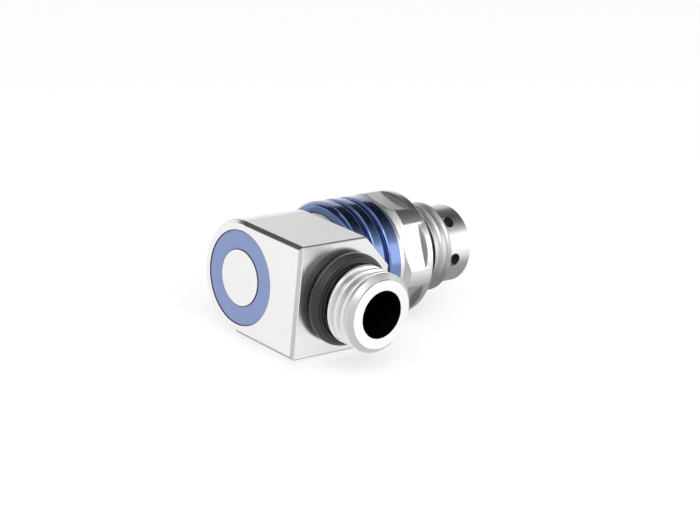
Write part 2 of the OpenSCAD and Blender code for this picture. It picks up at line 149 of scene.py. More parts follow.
class Shader:
    """A node tree that is filled by short calls."""

    def __init__(self, tree: bpy.types.NodeTree) -> None:
        """Starts on an empty or a fresh tree.

        Args:
            tree: The tree that the nodes go into.
        """
        self.tree = tree

    def add(self, kind: str, **settings: object) -> bpy.types.Node:
        """Adds one node.

        Args:
            kind: The node's type name.
            settings: Attributes to set on it.

        Returns:
            The new node.
        """
        node = self.tree.nodes.new(kind)
        for name, value in settings.items():
            setattr(node, name, value)
        return node

    def link(self, source: bpy.types.NodeSocket, target: bpy.types.NodeSocket) -> None:
        """Links an output to an input."""
        self.tree.links.new(source, target)

    def math(self, operation: str, a: object, b: object = None) -> bpy.types.NodeSocket:
        """Adds a Math node.

        Args:
            operation: The Math node's operation.
            a: A socket or a number for the first input.
            b: A socket or a number for the second input.

        Returns:
            The node's output.
        """
        node = self.add("ShaderNodeMath", operation=operation)
        for socket, value in zip(node.inputs, (a, b)):
            if isinstance(value, bpy.types.NodeSocket):
                self.link(value, socket)
            elif value is not None:
                socket.default_value = value
        return node.outputs[0]

    def spread(self, value: bpy.types.NodeSocket, low: float, high: float) -> bpy.types.NodeSocket:
        """Maps 0 to 1 onto low to high.

        Args:
            value: The value that is mapped.
            low: Result at 0.
            high: Result at 1.

        Returns:
            The mapped value.
        """
        node = self.add("ShaderNodeMapRange")
        self.link(value, node.inputs["Value"])
        node.inputs["To Min"].default_value = low
        node.inputs["To Max"].default_value = high
        return node.outputs["Result"]

    def seen(self) -> bpy.types.NodeSocket:
        """Tells what is looked at from what only gives light.

        Returns:
            1 for camera, glossy and transmission rays and 0 for all others.
        """
        path = self.add("ShaderNodeLightPath")
        mirrored = self.math("MAXIMUM", path.outputs["Is Glossy Ray"], path.outputs["Is Transmission Ray"])
        return self.math("MAXIMUM", path.outputs["Is Camera Ray"], mirrored)


def shared_group(
    name: str, inputs: dict[str, float], outputs: dict[str, str],
) -> tuple[bpy.types.NodeTree, Shader]:
    """Makes an empty shader node group with float inputs.

    Args:
        name: Name of the group.
        inputs: Name and default of each input.
        outputs: Name and socket type of each output.

    Returns:
        The group and a Shader on it.
    """
    tree = bpy.data.node_groups.new(name, "ShaderNodeTree")
    for label, value in inputs.items():
        socket = tree.interface.new_socket(label, in_out="INPUT", socket_type="NodeSocketFloat")
        socket.default_value = value
    for label, kind in outputs.items():
        tree.interface.new_socket(label, in_out="OUTPUT", socket_type=kind)
    return tree, Shader(tree)


class Effects:
    """The node groups that several finishes share."""

    def __init__(self) -> None:
        """Builds the groups once."""
        self.turning = self._turning()
        self.milling = self._milling()
        self.handling = self._handling()

    @staticmethod
    def _hand_out(s: Shader, start: bpy.types.Node, noise: bpy.types.Node) -> None:
        """Ends a group of marks with its noise and the normal bumped by it.

        Args:
            s: The group's Shader.
            start: The group's input node, with the height of the marks.
            noise: The node whose first output is the marks.
        """
        end = s.add("NodeGroupOutput")
        bump = s.add("ShaderNodeBump")
        bump.inputs["Distance"].default_value = GRAIN_DEPTH
        s.link(start.outputs["Height"], bump.inputs["Strength"])
        s.link(noise.outputs[0], bump.inputs["Height"])
        s.link(noise.outputs[0], end.inputs["Mark"])
        s.link(bump.outputs[0], end.inputs["Normal"])

    @classmethod
    def _turning(cls) -> bpy.types.NodeTree:
        """Fine rings round the X axis, as a lathe leaves them.

        Returns:
            The group.
        """
        tree, s = shared_group(
            "turning_marks",
            {"Rings per mm": 6.0, "Height": 0.02, "Wander": 0.15},
            {"Mark": "NodeSocketFloat", "Normal": "NodeSocketVector"},
        )
        start = s.add("NodeGroupInput")
        place = s.add("ShaderNodeTexCoord")
        parts = s.add("ShaderNodeSeparateXYZ")
        s.link(place.outputs["Object"], parts.inputs[0])
        squares = [s.math("MULTIPLY", parts.outputs[side], parts.outputs[side]) for side in "YZ"]
        radius = s.math("SQRT", s.math("ADD", *squares))
        per_metre = s.math("MULTIPLY", start.outputs["Rings per mm"], 1.0 / MM)
        ring = s.add("ShaderNodeCombineXYZ")
        s.link(s.math("MULTIPLY", parts.outputs["X"], per_metre), ring.inputs["X"])
        s.link(s.math("MULTIPLY", radius, per_metre), ring.inputs["Y"])
        turn = s.math("ARCTAN2", parts.outputs["Y"], parts.outputs["Z"])
        s.link(s.math("MULTIPLY", turn, start.outputs["Wander"]), ring.inputs["Z"])
        noise = s.add("ShaderNodeTexNoise", noise_dimensions="3D")
        noise.inputs["Scale"].default_value = 1.0
        noise.inputs["Detail"].default_value = 3.0
        s.link(ring.outputs[0], noise.inputs["Vector"])
        cls._hand_out(s, start, noise)
        return tree

    @classmethod
    def _milling(cls) -> bpy.types.NodeTree:
        """A fine grain, even or stretched, as a face mill or a drawing die leaves it.

        Returns:
            The group.
        """
        tree, s = shared_group(
            "satin_grain",
            {"Grains per mm": 5.0, "Height": 0.05, "Stretch": 1.0},
            {"Mark": "NodeSocketFloat", "Normal": "NodeSocketVector"},
        )
        start = s.add("NodeGroupInput")
        place = s.add("ShaderNodeTexCoord")
        stretch = s.add("ShaderNodeCombineXYZ")
        s.link(start.outputs["Stretch"], stretch.inputs["X"])
        stretch.inputs["Y"].default_value = 1.0
        stretch.inputs["Z"].default_value = 1.0
        drawn = s.add("ShaderNodeVectorMath", operation="MULTIPLY")
        s.link(place.outputs["Object"], drawn.inputs[0])
        s.link(stretch.outputs[0], drawn.inputs[1])
        noise = s.add("ShaderNodeTexNoise", noise_dimensions="3D")
        noise.inputs["Detail"].default_value = 4.0
        s.link(drawn.outputs[0], noise.inputs["Vector"])
        s.link(s.math("MULTIPLY", start.outputs["Grains per mm"], 1.0 / MM), noise.inputs["Scale"])
        cls._hand_out(s, start, noise)
        return tree

    @staticmethod
    def _handling() -> bpy.types.NodeTree:
        """Broad soft patches, where handling changes the gloss a little.

        Returns:
            The group.
        """
        tree, s = shared_group("handling_patches", {"Patches per mm": 0.12}, {"Mask": "NodeSocketFloat"})
        start = s.add("NodeGroupInput")
        end = s.add("NodeGroupOutput")
        place = s.add("ShaderNodeTexCoord")
        noise = s.add("ShaderNodeTexNoise", noise_dimensions="3D")
        noise.inputs["Detail"].default_value = 2.0
        noise.inputs["Roughness"].default_value = 0.4
        s.link(place.outputs["Object"], noise.inputs["Vector"])
        s.link(s.math("MULTIPLY", start.outputs["Patches per mm"], 1.0 / MM), noise.inputs["Scale"])
        s.link(noise.outputs[0], end.inputs["Mask"])
        return tree


# ---------------------------------------------------------------- finishes


@dataclass(frozen=True)
class Finish:
    """A finish with two close tones and a fine grain, by default of a metal.

    The gloss follows the grain, and on metals the handling patches as well.
    """

    name: str
    colour: tuple[float, float, float]
    shade: tuple[float, float, float]
    rough: tuple[float, float]
    scale: float
    height: float
    grain: Grain = Grain.MILLED
    metallic: float = 1.0
    patch_share: float = 0.5
    coat: float = 0.0
    coat_rough: float = 0.1
    coat_ior: float = 1.5

    def build(self, effects: Effects) -> bpy.types.Material:
        """Makes the material.

        Args:
            effects: The shared node groups.

        Returns:
            The finished material.
        """
        material = bpy.data.materials.new(self.name)
        material.use_nodes = True
        s = Shader(material.node_tree)
        surface = material.node_tree.nodes["Principled BSDF"]
        surface.inputs["Metallic"].default_value = self.metallic
        surface.inputs["Coat Weight"].default_value = self.coat
        surface.inputs["Coat Roughness"].default_value = self.coat_rough
        surface.inputs["Coat IOR"].default_value = self.coat_ior
        turned = self.grain is Grain.TURNED
        marks = s.add("ShaderNodeGroup", node_tree=effects.turning if turned else effects.milling)
        marks.inputs["Rings per mm" if turned else "Grains per mm"].default_value = self.scale
        marks.inputs["Height"].default_value = self.height
        if self.grain is Grain.DRAWN:
            marks.inputs["Stretch"].default_value = DRAWN_STRETCH
        patches = s.add("ShaderNodeGroup", node_tree=effects.handling)
        tone = s.add("ShaderNodeMix", data_type="RGBA")
        s.link(patches.outputs["Mask"], tone.inputs["Factor"])
        tone.inputs["A"].default_value = (*self.shade, 1.0)
        tone.inputs["B"].default_value = (*self.colour, 1.0)
        s.link(tone.outputs["Result"], surface.inputs["Base Color"])
        mixed = s.math(
            "ADD",
            s.math("MULTIPLY", marks.outputs["Mark"], 1.0 - self.patch_share),
            s.math("MULTIPLY", patches.outputs["Mask"], self.patch_share),
        )
        s.link(s.spread(mixed, *self.rough), surface.inputs["Roughness"])
        s.link(marks.outputs["Normal"], surface.inputs["Normal"])
        return material


FINISHES = (
    Finish("satin_steel", (0.89, 0.89, 0.882), (0.86, 0.86, 0.855), rough=(0.2, 0.27),
           scale=6.0, height=0.05),
    Finish("turned_steel", (0.80, 0.80, 0.80), (0.76, 0.76, 0.765), rough=(0.24, 0.34),
           scale=5.0, height=0.35, grain=Grain.TURNED),
    Finish("thread_steel", (0.81, 0.81, 0.805), (0.78, 0.78, 0.775), rough=(0.26, 0.36),
           scale=6.0, height=0.08),
    # Darker, rougher steel for the grip's lands, also used as painted shade between the thread's turns, on
    # the stub's end chamfer, the block's corner chamfer and the collar's step.
    Finish("grip_steel_and_painted_shade", (0.56, 0.56, 0.555), (0.52, 0.52, 0.515), rough=(0.3, 0.4),
           scale=5.0, height=0.35, grain=Grain.TURNED),
    Finish("shaded_steel", (0.36, 0.36, 0.36), (0.3, 0.3, 0.3), rough=(0.3, 0.4),
           scale=6.0, height=0.08),
    Finish("matt_steel", (0.97, 0.97, 0.965), (0.94, 0.94, 0.935), rough=(0.7, 0.85),
           scale=6.0, height=0.08),
    Finish("bore_steel", (0.86, 0.86, 0.86), (0.83, 0.83, 0.835), rough=(0.1, 0.16),
           scale=4.0, height=0.3, grain=Grain.TURNED),
    Finish("ball_steel", (0.88, 0.88, 0.88), (0.86, 0.86, 0.86), rough=(0.06, 0.1),
           scale=3.0, height=0.01),
    Finish("spring_wire", (0.62, 0.62, 0.61), (0.55, 0.55, 0.54), rough=(0.25, 0.35),
           scale=8.0, height=0.1, grain=Grain.DRAWN),
    Finish("blue_anodised", (0.08, 0.155, 0.40), (0.065, 0.135, 0.37), rough=(0.2, 0.28),
           scale=6.0, height=0.12, grain=Grain.TURNED, coat=1.0, coat_rough=0.12, coat_ior=1.9),
    Finish("blue_marker", (0.385, 0.49, 0.86), (0.37, 0.475, 0.84), rough=(0.45, 0.55),
           scale=8.0, height=0.05, metallic=0.0, patch_share=0.0),
    Finish("black_rubber", (0.018, 0.018, 0.019), (0.014, 0.014, 0.015), rough=(0.3, 0.42),
           scale=5.0, height=0.1, metallic=0.0, patch_share=0.0),
    # Near black painted shade, for the bores, the undercut, the gaps round the marker ring, the collar's
    # cavity, the windows' walls and the first groove.
    Finish("painted_shade_black", (0.025, 0.025, 0.026), (0.018, 0.018, 0.019), rough=(0.4, 0.5),
           scale=4.0, height=0.1),
)

Materials = dict[str, bpy.types.Material]


# ---------------------------------------------------------------- shape tools


def sharp_edges(bm: bmesh.types.BMesh, degrees: float = ROUND_DEGREES) -> list[bmesh.types.BMEdge]:
    """The edges that turn by more than an angle.

    Args:
        bm: The mesh.
        degrees: The angle.

    Returns:
        Those edges.
    """
    limit = math.radians(degrees)
    return [e for e in bm.edges if len(e.link_faces) == 2 and e.calc_face_angle(0.0) > limit]


def round_edges(
    bm: bmesh.types.BMesh, edges: list[bmesh.types.BMEdge], radius: float, steps: int = 2,
) -> None:
    """Rounds edges of a mesh.

    Args:
        bm: The mesh, in metres.
        edges: The edges.
        radius: Width of the rounding in millimetres.
        steps: Number of faces across it.
    """
    bmesh.ops.bevel(
        bm, geom=edges, offset=radius * MM, offset_type="OFFSET", segments=steps,
        profile=0.5, affect="EDGES", clamp_overlap=True, material=-1,
    )


def cut_across_port(bm: bmesh.types.BMesh, y: float, side: int) -> list[bmesh.types.BMEdge]:
    """Cuts a mesh across the port and clears what lies on one side.

    Args:
        bm: The mesh, in metres.
        y: Where the cut lies, in millimetres.
        side: The side that is cleared, -1 towards -Y or 1 towards +Y.

    Returns:
        The edges round the cut.
    """
    cut = bmesh.ops.bisect_plane(
        bm, geom=bm.verts[:] + bm.edges[:] + bm.faces[:], dist=CUT_SLACK,
        plane_co=Vector((0, y * MM, 0)), plane_no=Vector((0, side, 0)), clear_outer=True,
    )
    return [e for e in cut["geom_cut"] if isinstance(e, bmesh.types.BMEdge)]


@dataclass(frozen=True)
class Region:
    """A ring of space about an axis, in millimetres.

    With a finish it picks the faces that get it. Without one it only picks
    edges, for a rounding of their own.
    """

    finish: str | None
    axis: Axis
    along: tuple[float, float]
    radius: tuple[float, float]

    def holds(self, point: Vector) -> bool:
        """Tells if a point lies in the ring.

        Args:
            point: The point, in metres.

        Returns:
            True if it does.
        """
        place = point / MM - self.axis.origin
        along = place.dot(self.axis.vector)
        away = (place - along * self.axis.vector).length
        return self.along[0] <= along <= self.along[1] and self.radius[0] <= away <= self.radius[1]


def mark_regions(bm: bmesh.types.BMesh, regions: tuple[Region, ...]) -> list[str]:
    """Gives the faces that lie wholly in a region its finish.

    Args:
        bm: The mesh, in metres in the row frame.
        regions: The regions, of which the first that holds a face counts.

    Returns:
        The regions' finishes, for the material slots after the first.
    """
    finishes = list(dict.fromkeys(region.finish for region in regions))
    for face in bm.faces:
        points = [face.calc_center_median(), *(v.co for v in face.verts)]
        found = (finishes.index(g.finish) + 1 for g in regions if all(g.holds(point) for point in points))
        face.material_index = next(found, 0)
    return finishes


def finish_piece(
    bm: bmesh.types.BMesh, name: str, materials: list[bpy.types.Material], body: str,
    sharp: float = SMOOTH_DEGREES,
) -> bpy.types.Object:
    """Turns a mesh into a piece that rides on a body.

    Args:
        bm: The mesh, in metres in the row frame. It is freed.
        name: Name of the piece.
        materials: Its finishes, one per slot.
        body: The CAD body it rides on.
        sharp: Edges that turn by more than this many degrees stay sharp.

    Returns:
        The new object.
    """
    for face in bm.faces:
        face.smooth = True
    for edge in bm.edges:
        edge.smooth = True
    for edge in sharp_edges(bm, sharp):
        edge.smooth = False
    mesh = bpy.data.meshes.new(name)
    bm.to_mesh(mesh)
    bm.free()
    for material in materials:
        mesh.materials.append(material)
    piece = bpy.data.objects.new(name, mesh)
    bpy.context.scene.collection.objects.link(piece)
    flatten = piece.modifiers.new("even_faces", "WEIGHTED_NORMAL")
    flatten.keep_sharp = True
    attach(piece, body)
    return piece


@dataclass
class RoundedCopy:
    """A visible CAD node, rebuilt with its sharp edges rounded.

    The edges in soft_region are rounded first, and by more than the others.
    """

    node: str
    body: str
    radius: float
    finish: str
    slot: str
    cut_beyond: float | None = None
    regions: tuple[Region, ...] = ()
    soft_region: Region | None = None
    soft_radius: float = 0.45

    def build(self, nodes: dict[str, bpy.types.Object], materials: Materials) -> bpy.types.Object:
        """Merges a copy of the node's triangles and bevels its edges.

        Args:
            nodes: The frame's nodes.
            materials: The finishes by name.

        Returns:
            The piece that stands for the node.
        """
        bm = bmesh.new()
        bm.from_mesh(nodes[self.node].data)
        bmesh.ops.remove_doubles(bm, verts=bm.verts, dist=WELD)
        bmesh.ops.dissolve_limit(
            bm, angle_limit=math.radians(FLAT_DEGREES), verts=bm.verts, edges=bm.edges,
        )
        if self.cut_beyond is not None:
            cut_across_port(bm, self.cut_beyond, -1)
        reach = max(v.co.yz.length for v in bm.verts)
        if self.soft_region is not None:
            rings = [e for e in sharp_edges(bm) if all(self.soft_region.holds(v.co) for v in e.verts)]
            round_edges(bm, rings, self.soft_radius, SOFT_STEPS)
        round_edges(bm, sharp_edges(bm), self.radius)
        for vert in bm.verts:
            if vert.co.yz.length > reach:
                vert.co.yz = vert.co.yz.normalized() * reach
        finishes = [self.finish, *mark_regions(bm, self.regions)]
        piece = finish_piece(bm, self.node + "_shape", [materials[name] for name in finishes], self.body)
        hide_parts(self.node)
        return piece


@dataclass
class Spring:
    """A compression spring, copied from its CAD node."""

    node: str
    body: str
    finish: str
    slot: str

    def build(self, frame: dict, materials: Materials) -> bpy.types.Object:
        """Copies the node's coil.

        Args:
            frame: The loaded frame.
            materials: The finishes by name.

        Returns:
            The piece that stands for the node.
        """
        bm = bmesh.new()
        bm.from_mesh(frame["nodes"][self.node].data)
        bmesh.ops.remove_doubles(bm, verts=bm.verts, dist=WELD)
        piece = finish_piece(bm, self.node + "_coil", [materials[self.finish]], self.body, COIL_DEGREES)
        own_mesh(piece)
        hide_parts(self.node)
        return piece


# ---------------------------------------------------------------- stage


@dataclass(frozen=True)
class View:
    """The camera, from the angles at which the coupling is looked at."""

    azimuth: float = -42.088
    elevation: float = 17.829
    roll: float = 5.457
    distance: float = 410.2
    target: tuple[float, float, float] = (-43.435, -19.905, 7.756)
    lens: float = 110.2
    sensor: float = 36.0
    clip: tuple[float, float] = (0.01, 20.0)

    def build(self) -> bpy.types.Object:
        """Makes the scene's camera.

        Returns:
            The camera.
        """
        a, e, r = (math.radians(v) for v in (self.azimuth, self.elevation, self.roll))
        back = Vector((math.sin(a) * math.cos(e), -math.cos(a) * math.cos(e), math.sin(e)))
        right = Vector((math.cos(a), math.sin(a), 0.0))
        up = back.cross(right)
        across = math.cos(r) * right + math.sin(r) * up
        upward = -math.sin(r) * right + math.cos(r) * up
        data = bpy.data.cameras.new("camera")
        data.lens = self.lens
        data.sensor_width = self.sensor
        data.clip_start, data.clip_end = self.clip
        camera = bpy.data.objects.new("camera", data)
        bpy.context.scene.collection.objects.link(camera)
        place = Matrix((across, upward, back)).transposed().to_4x4()
        place.translation = (Vector(self.target) + back * self.distance) * MM
        camera.matrix_world = place
        bpy.context.scene.camera = camera
        return camera


@dataclass(frozen=True)
class Flag:
    """A level grey card that only reflections see.

    With a fade above 0, that share of the card brightens to white at its -Y edge.
    """

    name: str
    centre: tuple[float, float, float]
    size: tuple[float, float]
    grey: float = 0.02
    fade: float = 0.0
    fade_power: float = 1.2
    half_side: float = 0.5

    def build(self) -> bpy.types.Object:
        """Makes the card.

        Returns:
            The card.
        """
        bm = bmesh.new()
        bmesh.ops.create_grid(bm, x_segments=1, y_segments=1, size=self.half_side)
        mesh = bpy.data.meshes.new(self.name)
        bm.to_mesh(mesh)
        bm.free()
        material = bpy.data.materials.new(self.name)
        material.use_nodes = True
        s = Shader(material.node_tree)
        material.node_tree.nodes.remove(material.node_tree.nodes["Principled BSDF"])
        glow = s.add("ShaderNodeEmission")
        glow.inputs["Strength"].default_value = self.grey
        if self.fade:
            s.link(self._fading(s), glow.inputs["Strength"])
        s.link(glow.outputs[0], material.node_tree.nodes["Material Output"].inputs["Surface"])
        mesh.materials.append(material)
        card = bpy.data.objects.new(self.name, mesh)
        bpy.context.scene.collection.objects.link(card)
        card.scale = (*self.size, 1.0)
        card.location = self.centre
        card.visible_camera = False
        card.visible_diffuse = False
        card.visible_shadow = False
        card.visible_transmission = False
        card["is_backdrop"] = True
        return card

    def _fading(self, s: Shader) -> bpy.types.NodeSocket:
        """Makes a strength that rises from the card's grey to white over the fade.

        Args:
            s: The Shader of the card's material.

        Returns:
            The strength.
        """
        place = s.add("ShaderNodeTexCoord")
        parts = s.add("ShaderNodeSeparateXYZ")
        s.link(place.outputs["Object"], parts.inputs[0])
        ramp = s.add("ShaderNodeMapRange")
        s.link(parts.outputs["Y"], ramp.inputs["Value"])
        ramp.inputs["From Min"].default_value = self.fade - self.half_side
        ramp.inputs["From Max"].default_value = -self.half_side
        return s.spread(s.math("POWER", ramp.outputs["Result"], self.fade_power), self.grey, 1.0)


@dataclass(frozen=True)
class Lamp:
    """A soft square lamp aimed at the coupling."""

    name: str
    direction: tuple[float, float, float]
    distance: float
    size: float
    watts: float

    def build(self) -> bpy.types.Object:
        """Makes the lamp.

        Returns:
            The lamp.
        """
        data = bpy.data.lights.new(self.name, "AREA")
        data.shape = "SQUARE"
        data.size = self.size
        data.energy = self.watts
        lamp = bpy.data.objects.new(self.name, data)
        bpy.context.scene.collection.objects.link(lamp)
        away = Vector(self.direction).normalized()
        lamp.location = away * self.distance + Vector(LAMP_AIM)
        lamp.rotation_mode = "QUATERNION"
        lamp.rotation_quaternion = away.to_track_quat("Z", "Y")
        return lamp


@dataclass
class Studio:
    """Floor, surround, lamps and flags."""

    floor_z: float
    floor_grey: float = 0.45
    floor_lift: float = 0.63
    surround: float = 0.6
    lamps: tuple[Lamp, ...] = (
        Lamp("key", (-0.5, -0.75, 0.9), distance=0.9, size=0.7, watts=3.4),
        Lamp("fill", (0.8, -0.7, 0.35), distance=1.0, size=0.8, watts=2.0),
    )
    flags: tuple[Flag, ...] = (
        Flag("overhead_flag", (0.27, -0.015, 0.30), (0.36, 0.77), fade=0.48),
        Flag("rear_flag", (-0.275, 0.335, 0.30), (0.45, 0.43), grey=0.06),
        Flag("shoulder_flag", (-0.075, 0.15, 0.30), (0.15, 0.16)),
        Flag("far_flag", (0.70, 0.80, 0.30), (0.75, 0.80), grey=0.77),
        # A dark card on the floor under the coupling that only reflections see: painted shadow.
        Flag("under_painted_shadow", (0.008, -0.012, -0.0127), (0.065, 0.045), grey=0.35, fade=0.45),
        # A dark card on the floor in front of the port that only reflections see: painted shade on the
        # block's front face.
        Flag("front_painted_shade", (-0.0195, -0.066, -0.0127), (0.033, 0.058), fade=0.8),
        Flag("lead_flag", (-0.135, -0.02, 0.30), (0.11, 0.30), grey=0.05),
    )

    def build(self) -> None:
        """Makes all of it."""
        self._floor()
        self._world()
        for item in (*self.lamps, *self.flags):
            item.build()

    def _floor(self) -> None:
        """Makes a pale floor that shows white and keeps the soft shadow."""
        bm = bmesh.new()
        bmesh.ops.create_grid(bm, x_segments=1, y_segments=1, size=FLOOR_REACH)
        bmesh.ops.translate(bm, verts=bm.verts, vec=(0, 0, self.floor_z))
        mesh = bpy.data.meshes.new("floor")
        bm.to_mesh(mesh)
        bm.free()
        material = bpy.data.materials.new("floor")
        material.use_nodes = True
        s = Shader(material.node_tree)
        surface = material.node_tree.nodes["Principled BSDF"]
        surface.inputs["Base Color"].default_value = (*[self.floor_grey] * 3, 1.0)
        surface.inputs["Roughness"].default_value = 1.0
        surface.inputs["Specular IOR Level"].default_value = 0.0
        glow = s.add("ShaderNodeEmission")
        s.link(s.math("MULTIPLY", s.seen(), self.floor_lift), glow.inputs["Strength"])
        both = s.add("ShaderNodeAddShader")
        s.link(surface.outputs[0], both.inputs[0])
        s.link(glow.outputs[0], both.inputs[1])
        s.link(both.outputs[0], material.node_tree.nodes["Material Output"].inputs["Surface"])
        mesh.materials.append(material)
        floor = bpy.data.objects.new("floor", mesh)
        bpy.context.scene.collection.objects.link(floor)
        floor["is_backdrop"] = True

    def _world(self) -> None:
        """Makes a surround that is white to look at and a little darker as light."""
        world = bpy.data.worlds.new("surround")
        bpy.context.scene.world = world
        world.use_nodes = True
        s = Shader(world.node_tree)
        ground = world.node_tree.nodes["Background"]
        ground.inputs["Color"].default_value = WHITE
        s.link(s.spread(s.seen(), self.surround, 1.0), ground.inputs["Strength"])


# ---------------------------------------------------------------- regions

# The port bore, the flow bore and the undercut behind the thread, painted near black as shade.
PORT_BORE = Region("painted_shade_black", Axis.PORT, (-1.0, 29.28), (0.0, 4.86))
FLOW_BORE = Region("painted_shade_black", Axis.COUPLING, (-53.0, -20.0), (0.0, 5.05))
PORT_NECK = Region("painted_shade_black", Axis.PORT, (18.5, 22.75), (0.0, 7.0))

# The port's stub: painted shade between the turns and on its end chamfer, and a matt end face.
THREAD_ROOT = Region("grip_steel_and_painted_shade", Axis.PORT, (22.6, 28.3), (6.9, 7.3))
STUB_END = Region("grip_steel_and_painted_shade", Axis.PORT, (28.1, 29.22), (6.95, 8.1))
STUB_FACE = Region("matt_steel", Axis.PORT, (29.25, 29.4), (4.8, 7.0))

# Painted shade on edges and corners of the elbow block and on the rim of its closed left face; one strip
# of the front face keeps the plain satin finish.
FRONT_EDGES = Region("shaded_steel", Axis.COUPLING, (-54.2, -31.2), (20.85, 21.2))
CORNER_CHAMFER = Region("grip_steel_and_painted_shade", Axis.PORT, (17.04, 17.75), (11.0, 16.3))
LEFT_FRONT = Region("satin_steel", Axis.PORT, (17.3, 17.75), (10.6, 16.3))
LEFT_CHAMFERS = Region("shaded_steel", Axis.PORT, (-0.2, 17.75), (15.6, 16.1))
LEFT_RIM = Region("shaded_steel", Axis.COUPLING, (-53.56, -53.32), (11.0, 21.5))

# Painted shade in the gaps round the marker ring.
MARKER_OUTER = Region("painted_shade_black", Axis.COUPLING, (-54.2, -52.4), (9.38, 9.64))
MARKER_INNER = Region("painted_shade_black", Axis.COUPLING, (-54.2, -52.4), (5.56, 5.82))

# Painted shade in the hex body's cavity, on the step of its collar and on the shoulders of its flats.
COLLAR_CAVITY = Region("painted_shade_black", Axis.COUPLING, (-25.0, -14.02), (0.0, 11.05))
COLLAR_SHOULDER = Region("grip_steel_and_painted_shade", Axis.COUPLING, (-21.23, -20.14), (11.75, 12.81))
FLAT_SHOULDERS = Region("shaded_steel", Axis.COUPLING, (-16.4, -15.3), (11.9, 12.81))

# The release sleeve: painted shade on its windows' walls and in its first groove, and a darker, rougher
# steel on its grip.
WINDOW_WALLS = Region("painted_shade_black", Axis.COUPLING, (-3.2, -2.1), (6.8, 8.15))
FIRST_GROOVE = Region("painted_shade_black", Axis.COUPLING, (-11.7, -10.25), (8.9, 9.42))
GRIP_LANDS = Region("grip_steel_and_painted_shade", Axis.COUPLING, (-14.2, -4.5), (8.0, 9.5))

# The outside of the barrel, which shows through the windows.
WINDOW_FLOORS = Region("matt_steel", Axis.COUPLING, (-30.0, 0.2), (6.7, 6.9))

# Edges that are rounded by more than the rest.
GRIP_CRESTS = Region(None, Axis.COUPLING, (-12.0, -6.2), (9.1, 9.5))
GROOVE_FLOORS = Region(None, Axis.COUPLING, (-31.0, -20.0), (11.1, 11.3))


# ---------------------------------------------------------------- sub-assemblies


